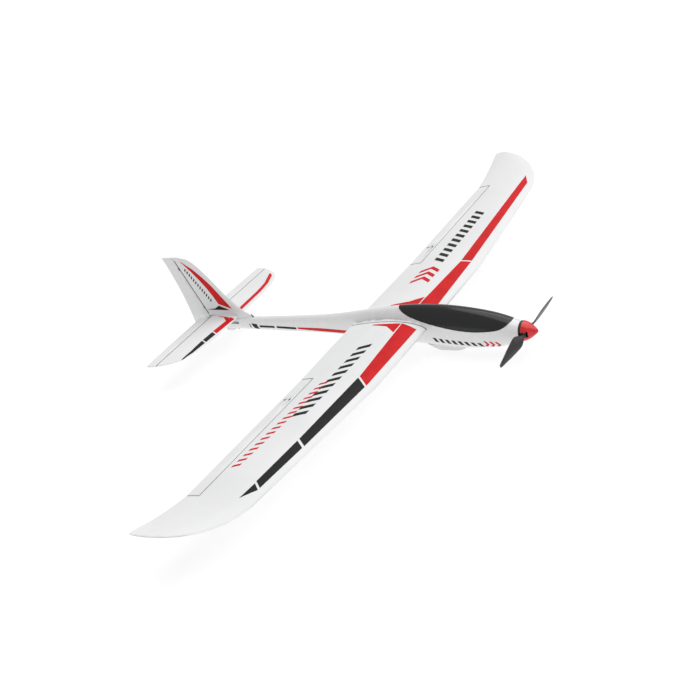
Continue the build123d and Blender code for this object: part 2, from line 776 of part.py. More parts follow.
for side, hand in ((1, "left"), (-1, "right")):
    span_run = stab_half_span + 5 - elevator_root
    with BuildPart() as elevator:
        add(tailplane_form.part)
        add(surface_prism(Vector(elevator_x, side * elevator_root, up(stab_height)),
                          Vector(0, side * span_run, 0)), mode=Mode.INTERSECT)
        add(elevator_joiner.part, mode=Mode.SUBTRACT)
        add(elevator_horn.part, mode=Mode.SUBTRACT)
    save(elevator, "elevator_" + hand)

with BuildPart() as horizontal_stabiliser:
    add(tailplane_form.part)
    add(rear_block(elevator_x + hinge_gap, fore(940), -300, 300, up(0), up(50)), mode=Mode.SUBTRACT)
    for station in tail_bolt_stations:
        add(bore((fore(station), 0, up(stab_height)), (0, 0, 1), bolt_hole_radius, 40),
            mode=Mode.SUBTRACT)
save(horizontal_stabiliser, "horizontal_stabiliser")

# ---------------------------------------------------------------- fin and rudder
# height, leading and trailing edge stations, thickness
fin_sections = [(rudder_foot_height, 757, 938.5, 10.5), (27, 757, 940, 10.5), (50, 783, 941, 9.8),
                (75, 804, 943.5, 9.2), (100, 821.5, 947, 8.6), (130, 841.5, 953, 7.8),
                (155, 861, 958.5, 7.0), (170, 874, 962.5, 6.2), (179, 889, 965.5, 5.2),
                (184.5, 915, overall_length, 3.8)]
with BuildPart() as vertical_form:
    loft([aerofoil(level_plane(height), (fore(nose), 0), (fore(tail), 0), thickness)
          for height, nose, tail, thickness in fin_sections], ruled=True)

rudder_axis = Vector(-rudder_hinge_lean, 0, 1).normalized()
rudder_base = Vector(fore(rudder_hinge_foot_station), 0, up(rudder_foot_height))


def on_rudder_axis(height):
    return Vector(fore(hinge_station(height)), 0, up(height))


def hinge_prism(ahead, nose_half, flare):
    """The region behind the rudder's hinge line, with a bevelled nose when flare is set."""
    start = rudder_base - rudder_axis * 20
    with BuildPart() as prism:
        with BuildSketch(Plane(origin=start, x_dir=(1, 0, rudder_hinge_lean), z_dir=rudder_axis)):
            with BuildLine():
                Polyline((ahead, nose_half), (ahead - flare, 12), (-150, 12), (-150, -12),
                         (ahead - flare, -12), (ahead, -nose_half), close=True)
            make_face()
        extrude(amount=260)
    return prism.part


hinge_levels = (47.0, 153.0)
knuckle_radius, knuckle_height, rudder_pin_radius = 2.2, 6.0, 0.8


def axis_cylinder(height, radius, length):
    """A cylinder on the rudder's hinge line, centred at a height."""
    return bore(on_rudder_axis(height), rudder_axis, radius, length)


horn_height = 12.2
eye_station = hinge_station(horn_height)
with BuildPart() as rudder_horn:
    with BuildSketch(level_plane(horn_height)):
        with Locations((fore(eye_station), -tail_link)):
            Circle(2.5)
        with Locations((fore(eye_station + 5), -1.5), (fore(eye_station + 20), -1.5)):
            Circle(1.5)
        make_hull()
        with Locations((fore(eye_station), -tail_link)):
            Circle(rod_radius + 0.8, mode=Mode.SUBTRACT)
    extrude(amount=arm_thickness)
save(rudder_horn, "rudder_horn")

with BuildPart() as rudder_hinge_pins:
    for level in hinge_levels:
        add(axis_cylinder(level, rudder_pin_radius, 18))
save(rudder_hinge_pins, "rudder_hinge_pins")

with BuildPart() as rudder:
    add(vertical_form.part)
    add(hinge_prism(1.6, 1.4, 5), mode=Mode.INTERSECT)
    add(rudder_horn.part, mode=Mode.SUBTRACT)
    for level in hinge_levels:
        add(axis_cylinder(level, rudder_pin_radius, 18), mode=Mode.SUBTRACT)
        add(axis_cylinder(level, knuckle_radius + 0.6, knuckle_height + 0.8), mode=Mode.SUBTRACT)
        add(bore(on_rudder_axis(level) + Vector(3, 0, 0), (1, 0, 0), 3.6, 6), mode=Mode.SUBTRACT)
save(rudder, "rudder")

with BuildPart() as rudder_hinges:
    for level in hinge_levels:
        middle = on_rudder_axis(level)
        add(axis_cylinder(level, knuckle_radius, knuckle_height))
        with BuildSketch(Plane(origin=middle - rudder_axis * 2.5, x_dir=(1, 0, rudder_hinge_lean),
                               z_dir=rudder_axis)):
            with Locations((8, 0)):
                Rectangle(16, 1)
        extrude(amount=5)
        add(axis_cylinder(level, rudder_pin_radius + fit, 30), mode=Mode.SUBTRACT)
save(rudder_hinges, "rudder_hinges")

with BuildPart() as fin:
    # the root fairing: its footprint on the boom and its smaller outline against the fin
    for level, first, last, tip, half in ((-4.2, 745, 806, 1.0, 8.6), (6, 757, 812, 0.8, 6.2),
                                          (16, 778, 822, 0.6, 3.4)):
        with BuildSketch(level_plane(stab_height + level)):
            with Locations((fore(first), 0)):
                Circle(tip)
            with Locations((fore(last), 0), (fore(875), 0)):
                Circle(half)
            make_hull()
    loft()
    add(vertical_form.part)
    add(hinge_prism(1.6 + hinge_gap, 11.5, 0.3), mode=Mode.SUBTRACT)
    # clear of the boom, of the tailplane and of the elevators' sweep
    add(rear_block(fore(735), fore(980), -20, 20, up(-30), up(stab_height - 4.3)), mode=Mode.SUBTRACT)
    add(rear_block(fore(787), fore(920), -20, 20, up(0), up(stab_height)), mode=Mode.SUBTRACT)
    add(rear_block(fore(860), fore(920), -20, 20, up(0), up(stab_height + 4.2)), mode=Mode.SUBTRACT)
    add(outer_form, mode=Mode.SUBTRACT)
    add(tailplane_form.part, mode=Mode.SUBTRACT)
    add(rudder_hinges.part, mode=Mode.SUBTRACT)
    for station in tail_bolt_stations:
        add(bore((fore(station), 0, up(27)), (0, 0, 1), bolt_radius + fit, 26),
            mode=Mode.SUBTRACT)
save(fin, "fin")

tail_bolt_length = 50.0
with BuildPart() as tail_bolts:
    for station in tail_bolt_stations:
        with BuildSketch(Plane(origin=(fore(station), 0, up(tail_bolt_seat - 1)))):
            Circle(bolt_radius)
        extrude(amount=tail_bolt_length)
        with BuildSketch(Plane(origin=(fore(station), 0, up(tail_bolt_seat - 1.7)))):
            Circle(bolt_head_radius)
        extrude(amount=1.65)
save(tail_bolts, "tail_bolts")

# ---------------------------------------------------------------- tail servos and pushrods
# elevator servo on its side, its arm in the plane of the elevator's pushrod
elevator_rod_span = 12.0
elevator_output = Plane(origin=(fore(tail_servo_station), elevator_rod_span - rod_plane_offset,
                                up(stab_height)), x_dir=(-1, 0, 0), z_dir=(0, 1, 0))
save(servo(elevator_output), "elevator_servo")
save(servo_arm(elevator_output, -90, tail_link), "elevator_arm")

# rudder servo upright, its arm pointing to the right
rudder_case_top = rudder_rod_height - rod_plane_offset + 2.6
rudder_output = Plane(origin=(fore(tail_servo_station), 2, up(rudder_case_top)), x_dir=(-1, 0, 0),
                      z_dir=(0, 0, 1))
save(servo(rudder_output), "rudder_servo")
save(servo_arm(rudder_output, 90, tail_link), "rudder_arm")

with BuildPart() as servo_tray:
    with BuildSketch(level_plane(rudder_case_top - 9)):
        with Locations((fore(tail_servo_station + shaft_offset), 0)):
            RectangleRounded(48, 30.4, 3)
            with Locations((0, 2)):
                Rectangle(servo_length + 0.4, servo_width + 0.4, mode=Mode.SUBTRACT)
    extrude(amount=2)
save(servo_tray, "servo_tray")

rod_z = up(stab_height - tail_link)
beside_horn = elevator_link_span - 3.2
save(pushrod([(fore(tail_servo_station), elevator_rod_span + 1.7, rod_z),
              (fore(tail_servo_station), elevator_rod_span - 3.2, rod_z),
              (fore(420), 6, rod_z), (fore(785), 6, rod_z), (fore(838), beside_horn, rod_z),
              (elevator_x, beside_horn, rod_z), (elevator_x, elevator_link_span + 1.7, rod_z)],
             [1.4, 60, 60, 30, 1.6]), "elevator_pushrod")

# rudder pushrod: up through the horn's eye, out through its exit, along the boom to the servo
rod_z = up(rudder_rod_height)
arm_y = 2 - tail_link
save(pushrod([(fore(tail_servo_station), arm_y, rod_z + 4.3),
              (fore(tail_servo_station), arm_y, rod_z), (fore(420), -6, rod_z),
              (fore(785), -6, rod_z), (fore(838), -tail_link, rod_z),
              (fore(eye_station), -tail_link, rod_z), (fore(eye_station), -tail_link, rod_z + 9)],
             [1.4, 60, 60, 30, 1.6]), "rudder_pushrod")
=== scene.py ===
# Looks for the motor glider: foam, gloss plastic, printed films and small fittings.
# Sizes are in metres. A station is a distance behind the spinner's tip, in millimetres.
import json
import math

import bpy
from mathutils import Euler, Matrix, Vector


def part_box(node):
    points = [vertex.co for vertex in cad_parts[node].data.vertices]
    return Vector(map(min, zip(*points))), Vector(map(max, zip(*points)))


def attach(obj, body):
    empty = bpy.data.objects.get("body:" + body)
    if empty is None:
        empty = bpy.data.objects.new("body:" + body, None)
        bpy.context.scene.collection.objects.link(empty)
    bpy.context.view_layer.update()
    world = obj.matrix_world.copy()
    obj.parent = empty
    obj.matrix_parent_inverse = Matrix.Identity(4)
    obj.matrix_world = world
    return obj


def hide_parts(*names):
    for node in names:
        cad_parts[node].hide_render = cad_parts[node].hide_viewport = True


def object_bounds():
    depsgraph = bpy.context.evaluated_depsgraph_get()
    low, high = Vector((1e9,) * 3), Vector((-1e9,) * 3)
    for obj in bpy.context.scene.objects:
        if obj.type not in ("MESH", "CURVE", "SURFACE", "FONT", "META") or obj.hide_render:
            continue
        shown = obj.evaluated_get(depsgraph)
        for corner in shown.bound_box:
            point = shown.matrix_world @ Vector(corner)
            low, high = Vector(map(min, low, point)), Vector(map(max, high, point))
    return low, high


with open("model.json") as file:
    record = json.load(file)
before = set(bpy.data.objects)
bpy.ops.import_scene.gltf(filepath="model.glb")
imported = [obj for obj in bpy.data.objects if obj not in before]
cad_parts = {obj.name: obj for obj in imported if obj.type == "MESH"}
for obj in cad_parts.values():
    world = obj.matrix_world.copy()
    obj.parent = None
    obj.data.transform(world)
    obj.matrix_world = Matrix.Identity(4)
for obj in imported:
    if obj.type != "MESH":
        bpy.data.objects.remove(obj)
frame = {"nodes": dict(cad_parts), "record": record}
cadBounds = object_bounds()
noseX = cadBounds[1].x
thrustZ = (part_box("spinner")[0].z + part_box("spinner")[1].z) / 2
mm = 0.001


def fore(station):
    return noseX - station * mm


def up(height):
    return thrustZ + height * mm


# ---- shader helpers
class Wire:
    def __init__(self, look, socket):
        self.look = look
        self.socket = socket

    def calc(self, operation, *values):
        return self.look.node("ShaderNodeMath", {"operation": operation}, dict(enumerate(values)))

    def __add__(self, other):
        return self.calc("ADD", self, other)

    def __sub__(self, other):
        return self.calc("SUBTRACT", self, other)

    def __mul__(self, other):
        return self.calc("MULTIPLY", self, other)

    def __gt__(self, other):
        return self.calc("GREATER_THAN", self, other)

    def __lt__(self, other):
        return self.calc("LESS_THAN", self, other)

    def __abs__(self):
        return self.calc("ABSOLUTE", self)

    def power(self, other):
        return self.calc("POWER", self, other)

    def sine(self):
        return self.calc("SINE", self)

    def highest(self, other):
        return self.calc("MAXIMUM", self, other)


class Look:
    def __init__(self, name, colour, roughness, **fixed):
        self.material = bpy.data.materials.new(name)
        self.material.use_nodes = True
        self.tree = self.material.node_tree
        self.shader = self.tree.nodes["Principled BSDF"]
        self.colour = colour
        self.shader.inputs["Base Color"].default_value = (*colour, 1)
        self.shader.inputs["Roughness"].default_value = roughness
        self.material.diffuse_color = (*colour, 1)
        for label, value in fixed.items():
            self.shader.inputs[label.replace("_", " ")].default_value = value
        place = self.tree.nodes.new("ShaderNodeTexCoord")
        self.place = Wire(self, place.outputs["Object"])
        self.x, self.y, self.z = self.split(self.place)

    def node(self, kind, settings=None, values=None, output=0):
        made = self.tree.nodes.new(kind)
        for label, value in (settings or {}).items():
            setattr(made, label, value)
        for label, value in (values or {}).items():
            if isinstance(value, Wire):
                self.tree.links.new(value.socket, made.inputs[label])
            else:
                made.inputs[label].default_value = value
        return Wire(self, made.outputs[output])

    def split(self, vector):
        made = self.tree.nodes.new("ShaderNodeSeparateXYZ")
        self.tree.links.new(vector.socket, made.inputs[0])
        return [Wire(self, made.outputs[axis]) for axis in range(3)]

    def scaled(self, factors):
        return self.node("ShaderNodeVectorMath", {"operation": "MULTIPLY"},
                         {0: self.place, 1: factors})

    def noise(self, scale, detail=3.0, roughness=0.5, stretch=None):
        vector = self.scaled(stretch) if stretch else self.place
        return self.node("ShaderNodeTexNoise", {},
                         {"Vector": vector, "Scale": scale, "Detail": detail,
                          "Roughness": roughness})

    def cells(self, scale, feature="F1"):
        return self.node("ShaderNodeTexVoronoi", {"feature": feature},
                         {"Vector": self.place, "Scale": scale})

    def fade(self, value, low, high, start=0.0, end=1.0):
        return self.node("ShaderNodeMapRange", {"interpolation_type": "SMOOTHSTEP"},
                         {"Value": value, "From Min": low, "From Max": high,
                          "To Min": start, "To Max": end})

    def line(self, value, half):
        # 1 on a thin line where value is 0, falling to 0 at twice the half width
        return self.fade(abs(value), half, 2 * half, 1.0, 0.0)

    def mix(self, factor, first, second):
        made = self.tree.nodes.new("ShaderNodeMix")
        made.data_type = "RGBA"
        for index, value in ((0, factor), (6, first), (7, second)):
            if isinstance(value, Wire):
                self.tree.links.new(value.socket, made.inputs[index])
            else:
                made.inputs[index].default_value = value if index == 0 else (*value, 1)
        return Wire(self, made.outputs[2])

    def paint(self, colour):
        self.tree.links.new(colour.socket, self.shader.inputs["Base Color"])

    def rough(self, value):
        self.tree.links.new(value.socket, self.shader.inputs["Roughness"])

    def relief(self, height, depth, strength=1.0):
        bump = self.node("ShaderNodeBump", {}, {"Height": height, "Distance": depth,
                                                "Strength": strength})
        self.tree.links.new(bump.socket, self.shader.inputs["Normal"])


# ---- finishes
foamSettings = {"colour": (0.80, 0.80, 0.805), "shade": (0.765, 0.768, 0.775), "bead": 330.0,
                "grain": 900.0, "cloud": 9.0, "relief": 0.00006, "plain": 0.46, "rough": (0.42, 0.54)}


def foamLook():
    finish = foamSettings
    look = Look("whiteFoam", finish["colour"], finish["plain"], Specular_IOR_Level=0.4)
    beads = look.cells(finish["bead"])
    grain = look.noise(finish["grain"], 2.0)
    cloud = look.noise(finish["cloud"], 3.0)
    look.relief(beads * 0.7 + grain * 0.5, finish["relief"], 0.5)
    look.paint(look.mix(look.fade(cloud, 0.35, 0.7), finish["colour"], finish["shade"]))
    look.rough(look.fade(grain, 0.3, 0.7, *finish["rough"]))
    return look.material


shellSettings = {"colour": (0.79, 0.79, 0.795), "seamColour": (0.5, 0.5, 0.51), "seam": 0.00022,
                 "seamDepth": 0.0002, "ripple": 38.0, "pores": 1400.0, "plain": 0.24,
                 "rough": (0.2, 0.3)}


def shellLook():
    # blow-moulded plastic with the faint seam of its two mould halves
    finish = shellSettings
    look = Look("whiteShell", finish["colour"], finish["plain"], Coat_Weight=0.35,
                Coat_Roughness=0.1)
    seam = look.line(look.y, finish["seam"])
    ripple = look.noise(finish["ripple"], 2.0)
    pores = look.noise(finish["pores"], 2.0)
    look.relief(ripple * 0.9 + pores * 0.06 - seam, finish["seamDepth"], 0.6)
    look.paint(look.mix(seam * 0.35, finish["colour"], finish["seamColour"]))
    look.rough(look.fade(ripple, 0.3, 0.75, *finish["rough"]))
    return look.material


canopySettings = {"colour": (0.015, 0.0155, 0.0165), "dustColour": (0.024, 0.025, 0.027),
                  "ripple": 30.0, "rippleDepth": 0.00018, "dust": 260.0, "plain": 0.2,
                  "rough": (0.15, 0.27)}


def canopyLook():
    finish = canopySettings
    look = Look("blackCanopy", finish["colour"], finish["plain"], Specular_IOR_Level=0.25,
                Coat_Weight=0.25, Coat_Roughness=0.05)
    ripple = look.noise(finish["ripple"], 2.0)
    dust = look.noise(finish["dust"], 4.0, 0.6)
    look.relief(ripple, finish["rippleDepth"], 0.5)
    look.rough(look.fade(dust, 0.4, 0.8, *finish["rough"]))
    look.paint(look.mix(look.fade(dust, 0.55, 0.85), finish["colour"], finish["dustColour"]))
    return look.material


printSettings = {"grain": 700.0, "waves": 45.0, "relief": 0.00008, "darker": 0.86, "plain": 0.42,
                 "rough": (0.36, 0.48)}


def filmLook(name, colour):
    # printed film, slightly proud and a little glossier than the foam under it; the black one also
    # makes the lines of painted shade in the hinge gaps
    finish = printSettings
    look = Look(name, colour, finish["plain"], Specular_IOR_Level=0.14)
    grain = look.noise(finish["grain"], 2.0)
    waves = look.noise(finish["waves"], 2.0)
    look.relief(waves * 0.8 + grain * 0.15, finish["relief"], 0.4)
    darker = tuple(channel * finish["darker"] for channel in colour)
    look.paint(look.mix(look.fade(waves, 0.4, 0.7), colour, darker))
    look.rough(look.fade(grain, 0.3, 0.7, *finish["rough"]))
    return look.material


def mouldedLook(name, colour, roughness, grain=1100.0, depth=0.00004, coat=0.0):
    look = Look(name, colour, roughness, Coat_Weight=coat, Coat_Roughness=0.12)
    fine = look.noise(grain, 3.0, 0.6)
    flow = look.noise(60.0, 3.0)
    look.relief(fine + flow * 0.6, depth, 0.7)
    lighter = tuple(min(1.0, channel * 1.3 + 0.006) for channel in colour)
    look.paint(look.mix(look.fade(flow, 0.4, 0.75), colour, lighter))
    look.rough(look.fade(fine, 0.3, 0.7, roughness * 0.85, roughness * 1.2))
    return look.material


def metalLook(name, colour, roughness, stretch=(40, 4000, 4000), depth=0.00001):
    look = Look(name, colour, roughness, Metallic=1.0)
    marks = look.noise(1.0, 3.0, 0.6, stretch)
    patina = look.noise(120.0, 3.0)
    look.relief(marks, depth, 0.5)
    look.rough(look.fade(marks * 0.6 + patina * 0.4, 0.3, 0.7, roughness * 0.7, roughness * 1.4))
    darker = tuple(channel * 0.8 for channel in colour)
    look.paint(look.mix(look.fade(patina, 0.45, 0.8), colour, darker))
    return look.material


windingSettings = {"steel": (0.62, 0.63, 0.64), "copper": (0.55, 0.20, 0.07), "inner": 0.0052,
                   "outer": 0.0119, "first": 47.6, "last": 60.4, "pitch": 2400.0,
                   "depth": 0.0002, "mottle": 300.0, "plain": 0.35, "rough": (0.28, 0.42)}


def statorLook():
    # copper windings in a ring round the shaft, between two plain steel ends
    finish = windingSettings
    look = Look("statorCopper", finish["steel"], finish["plain"], Metallic=1.0)
    radius = (look.y.power(2.0) + (look.z - thrustZ).power(2.0)).power(0.5)
    band = (radius > finish["inner"]) * (radius < finish["outer"])
    band = band * (look.x < fore(finish["first"])) * (look.x > fore(finish["last"]))
    turns = (radius * finish["pitch"] * math.pi).sine()
    look.paint(look.mix(band, finish["steel"], finish["copper"]))
    look.relief(turns * band, finish["depth"], 0.8)
    look.rough(look.fade(look.noise(finish["mottle"]), 0.3, 0.7, *finish["rough"]))
    return look.material


weaveSettings = {"colour": (0.03, 0.03, 0.033), "deep": (0.018, 0.018, 0.02),
                 "bright": (0.06, 0.06, 0.065), "tow": 0.004, "relief": 0.00005, "plain": 0.3,
                 "rough": (0.24, 0.42)}


def carbonLook():
    finish = weaveSettings
    look = Look("carbonWeave", finish["colour"], finish["plain"], Coat_Weight=0.8,
                Coat_Roughness=0.08)
    pitch = 2 * math.pi / finish["tow"]
    over = (look.y * pitch + look.x * pitch).sine()
    under = (look.y * pitch - look.z * pitch).sine()
    look.paint(look.mix(over * under > 0.0, finish["deep"], finish["bright"]))
    look.rough(look.fade(over * under, -0.6, 0.6, *finish["rough"]))
    look.relief(over * under, finish["relief"], 0.6)
    return look.material


woodSettings = {"colour": (0.62, 0.44, 0.27), "pale": (0.66, 0.49, 0.31), "dark": (0.50, 0.33, 0.18),
                "glue": (0.36, 0.22, 0.12), "ply": 0.00125, "grain": (22, 420, 420),
                "relief": 0.0001, "plain": 0.6, "rough": (0.52, 0.7)}


def plywoodLook():
    finish = woodSettings
    look = Look("birchPlywood", finish["colour"], finish["plain"])
    grain = look.noise(1.0, 5.0, 0.6, finish["grain"])
    plies = (look.z * (2 * math.pi / finish["ply"])).sine()
    wood = look.mix(look.fade(grain, 0.35, 0.68), finish["pale"], finish["dark"])
    look.paint(look.mix(look.fade(plies, 0.2, 0.9) * 0.25, wood, finish["glue"]))
    look.relief(grain, finish["relief"], 0.6)
    look.rough(look.fade(grain, 0.3, 0.7, *finish["rough"]))
    return look.material


caseSettings = {"colour": (0.012, 0.075, 0.30), "deep": (0.01, 0.06, 0.27), "pale": (0.03, 0.13, 0.38),
                "inside": 130.0, "ripple": 50.0, "relief": 0.0001, "grain": 900.0, "plain": 0.22,
                "rough": (0.18, 0.3)}


def servoLook():
    finish = caseSettings
    look = Look("blueCase", finish["colour"], finish["plain"], Coat_Weight=0.4, Coat_Roughness=0.1)
    inside = look.noise(finish["inside"], 3.0)
    look.paint(look.mix(look.fade(inside, 0.35, 0.75), finish["deep"], finish["pale"]))
    look.relief(look.noise(finish["ripple"], 2.0), finish["relief"], 0.5)
    look.rough(look.fade(look.noise(finish["grain"]), 0.3, 0.7, *finish["rough"]))
    return look.material


wrapSettings = {"band": 13.0, "gap": 2.0, "edge": 1.2, "creases": (60, 140, 260), "relief": 0.0005,
                "plain": 0.26, "rough": (0.2, 0.34)}


def wrapLook(name, colour, bandColour, station):
    # shrink wrap with a plain coloured band across its middle and a thin line beside it
    finish = wrapSettings
    look = Look(name, colour, finish["plain"], Coat_Weight=0.3, Coat_Roughness=0.15)
    middle = abs(look.x - fore(station))
    band = middle < finish["band"] * mm
    edge = abs(middle - (finish["band"] + finish["gap"]) * mm) < finish["edge"] / 2 * mm
    creases = look.noise(1.0, 4.0, 0.6, finish["creases"])
    look.paint(look.mix(band.highest(edge), colour, bandColour))
    look.relief(creases, finish["relief"], 0.6)
    look.rough(look.fade(creases, 0.3, 0.7, *finish["rough"]))
    return look.material


webbingSettings = {"colour": (0.02, 0.02, 0.022), "deep": (0.012, 0.012, 0.013),
                   "bright": (0.04, 0.04, 0.043), "pitch": 0.0012, "relief": 0.00025,
                   "fuzz": 1800.0, "plain": 0.8, "rough": (0.72, 0.9)}


def webbingLook():
    finish = webbingSettings
    look = Look("wovenStrap", finish["colour"], finish["plain"], Sheen_Weight=0.3)
    pitch = 2 * math.pi / finish["pitch"]
    warp = (look.x * pitch).sine()
    weft = ((look.y + look.z) * pitch).sine()
    fuzz = look.noise(finish["fuzz"], 3.0)
    look.relief(warp * weft + fuzz * 0.4, finish["relief"], 0.8)
    look.paint(look.mix(look.fade(warp * weft, -0.8, 0.8), finish["deep"], finish["bright"]))
    look.rough(look.fade(fuzz, 0.3, 0.7, *finish["rough"]))
    return look.material


print("making the finishes")
red = (0.64, 0.007, 0.010)
inkBlack = (0.013, 0.013, 0.014)
looks = {
    "white_shell": shellLook(),
    "white_foam": foamLook(),
    "black_gloss": canopyLook(),
    "black_plastic": mouldedLook("blackRib", (0.03, 0.03, 0.032), 0.45),
    "red_plastic": mouldedLook("redSpinner", (0.60, 0.006, 0.009), 0.26, 700.0, 0.00002, 0.2),
    "black_nylon": mouldedLook("blackNylon", (0.013, 0.013, 0.014), 0.36, 1300.0, 0.00004),
    "white_nylon": mouldedLook("whiteNylon", (0.74, 0.74, 0.72), 0.4),
    "carbon": carbonLook(),
    "steel": metalLook("brightSteel", (0.60, 0.60, 0.61), 0.25),
    "nickel": metalLook("nickelPlate", (0.74, 0.73, 0.70), 0.14, (900, 900, 900)),
    "aluminium": metalLook("turnedAluminium", (0.70, 0.71, 0.73), 0.28, (5200, 60, 60), 0.00002),
    "black_steel": metalLook("blackOxide", (0.06, 0.06, 0.065), 0.4, (700, 700, 700)),
    "plywood": plywoodLook(),
    "servo_blue": servoLook(),
    "pack_wrap": wrapLook("packWrap", (0.02, 0.09, 0.36), (0.72, 0.72, 0.70), 150.0),
    "controller_wrap": wrapLook("controllerWrap", (0.02, 0.02, 0.024), (0.55, 0.05, 0.04), 96.0),
    "webbing": webbingLook(),
    "receiver_case": mouldedLook("receiverCase", (0.05, 0.05, 0.055), 0.5, 900.0, 0.00006),
}
filmLooks = {"red": filmLook("redFilm", red), "black": filmLook("blackFilm", inkBlack)}
nodeLooks = {"motor_stator": statorLook()}
slotOf = {row["node"]: row["material_slot"] for row in frame["record"]["subparts"]}
bodyOf = {node: body for body, nodes in frame["record"]["behaviour"]["bodies"].items()
          for node in nodes}
for node, piece in frame["nodes"].items():
    piece.data.materials.clear()
    piece.data.materials.append(nodeLooks.get(node) or looks[slotOf[node]])


# ---- mesh helpers
skinSettings = {"weld": 0.000004, "sharpest": 28}


def clearSelection():
    if bpy.context.object and bpy.context.object.mode != "OBJECT":
        bpy.ops.object.mode_set(mode="OBJECT")
    bpy.ops.object.select_all(action="DESELECT")


def choose(piece):
    clearSelection()
    piece.select_set(True)
    bpy.context.view_layer.objects.active = piece


def copyOf(source, name):
    piece = bpy.data.objects.new(name, source.data.copy())
    piece.data.name = name
    bpy.context.scene.collection.objects.link(piece)
    return piece


def weldedCopy(node, name):
    piece = copyOf(frame["nodes"][node], name)
    choose(piece)
    bpy.ops.object.mode_set(mode="EDIT")
    bpy.ops.mesh.select_all(action="SELECT")
    bpy.ops.mesh.remove_doubles(threshold=skinSettings["weld"])
    bpy.ops.object.mode_set(mode="OBJECT")
    return piece


def finishPiece(piece, body, material):
    piece.data.materials.clear()
    piece.data.materials.append(material)
    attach(piece, body)


def smooth(piece, degrees=35):
    choose(piece)
    bpy.ops.object.shade_smooth_by_angle(angle=math.radians(degrees))


def pickFaces(piece, wanted):
    # leaves the piece in edit mode with just the wanted faces selected
    choose(piece)
    bpy.ops.object.mode_set(mode="EDIT")
    bpy.ops.mesh.select_mode(type="FACE")
    bpy.ops.mesh.select_all(action="DESELECT")
    bpy.ops.object.mode_set(mode="OBJECT")
    for face in piece.data.polygons:
        face.select = wanted(face)
    bpy.ops.object.mode_set(mode="EDIT")


def addModifier(piece, kind, **settings):
    choose(piece)
    bpy.ops.object.modifier_add(type=kind)
    for label, value in settings.items():
        setattr(piece.modifiers[-1], label, value)


def applyAll(piece):
    choose(piece)
    for modifier in [m.name for m in piece.modifiers]:
        bpy.ops.object.modifier_apply(modifier=modifier)


def applyPlace(piece):
    # leaves the object at the origin, unturned and unscaled
    choose(piece)
    bpy.ops.object.transform_apply(location=True, rotation=True, scale=True)


def joined(pieces, name):
    clearSelection()
    for piece in pieces:
        piece.select_set(True)
    bpy.context.view_layer.objects.active = pieces[0]
    if len(pieces) > 1:
        bpy.ops.object.join()
    pieces[0].name = name
    return pieces[0]


# ---- smooth skins: the same surfaces as the frame's, with their facets shaded as one curve
skinNodes = ["fuselage_shell", "canopy", "belly_skid", "tail_skid", "wing_left", "wing_right",
             "aileron_left", "aileron_right", "horizontal_stabiliser", "elevator_left",
             "elevator_right", "fin", "rudder", "spinner", "blade_left", "blade_right"]


def camelCase(name):
    first, *rest = name.split("_")
    return first + "".join(word.capitalize() for word in rest)


print("smoothing the skins")
for node in skinNodes:
    piece = weldedCopy(node, camelCase(node) + "Skin")
    smooth(piece, skinSettings["sharpest"])
    finishPiece(piece, bodyOf[node], looks[slotOf[node]])
    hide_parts(node)

# ---- printed films, and black lines of painted shade in the hinge gaps: patches of the surface, cut out along straight edges
filmSettings = {"thickness": 0.0002, "leastFacing": 0.12}


def facingOnly(piece, facing):
    # keeps the faces that look along facing
    pickFaces(piece, lambda face: face.normal.dot(facing) < filmSettings["leastFacing"])
    bpy.ops.mesh.delete(type="FACE")
    bpy.ops.object.mode_set(mode="OBJECT")


def cutTo(piece, corners, facing):
    # corners go round the outline in either direction
    middle = sum(corners, Vector()) / len(corners)
    choose(piece)
    bpy.ops.object.mode_set(mode="EDIT")
    for first, second in zip(corners, corners[1:] + corners[:1]):
        outward = (second - first).cross(facing).normalized()
        if outward.dot(middle - first) > 0:
            outward.negate()
        bpy.ops.mesh.select_all(action="SELECT")
        bpy.ops.mesh.bisect(plane_co=first, plane_no=outward, clear_outer=True)
    bpy.ops.object.mode_set(mode="OBJECT")


def topView(points):
    return [Vector((fore(station), span * mm, 0)) for station, span in points]


def sideView(points):
    return [Vector((fore(station), 0, up(height))) for station, height in points]


top = Vector((0, 0, 1))
leftSide, rightSide = Vector((0, 1, 0)), Vector((0, -1, 0))
skins = {}


def skinOf(node, facing):
    key = (node, tuple(facing))
    if key not in skins:
        skins[key] = weldedCopy(node, "skin")
        facingOnly(skins[key], facing)
    return skins[key]


def film(name, node, facing, outlines, colour):
    # one printed film, or one black line of painted shade, of several convex patches, on one piece of
    # the airframe
    view = topView if facing is top else sideView
    source = skinOf(node, facing)
    patches = []
    for outline in outlines:
        patch = copyOf(source, name)
        cutTo(patch, view(outline), facing)
        if len(patch.data.polygons):
            patches.append(patch)
        else:
            bpy.data.objects.remove(patch)
    piece = joined(patches, name)
    addModifier(piece, "SOLIDIFY", thickness=filmSettings["thickness"], offset=1)
    applyAll(piece)
    smooth(piece, 40)
    finishPiece(piece, bodyOf[node], filmLooks[colour])
    return piece


def bars(start, end, count, width, height, slant):
    # a row of slanted bars from start to end, as (station, span or height) outlines
    start, end = Vector(start), Vector(end)
    along = (end - start).normalized()
    across = Vector((-along.y, along.x))
    step = (end - start).length / (count - 1)
    row = []
    for index in range(count):
        middle = start + along * step * index
        lean = along * slant * height / 2
        low, high = middle - across * height / 2 - lean, middle + across * height / 2 + lean
        half = along * width / 2
        row.append([tuple(low - half), tuple(low + half), tuple(high + half), tuple(high - half)])
    return row


def chevrons(start, step, count, size, thickness):
    # nested arrow heads, each of two convex arms
    start, step = Vector(start), Vector(step)
    along = step.normalized()
    across = Vector((-along.y, along.x))
    arms = []
    for index in range(count):
        tip = start + step * index
        for side in (1, -1):
            root = tip - along * size * 0.7 + across * side * size
            shift = along * thickness
            arms.append([tuple(tip), tuple(root), tuple(root - shift), tuple(tip - shift)])
    return arms


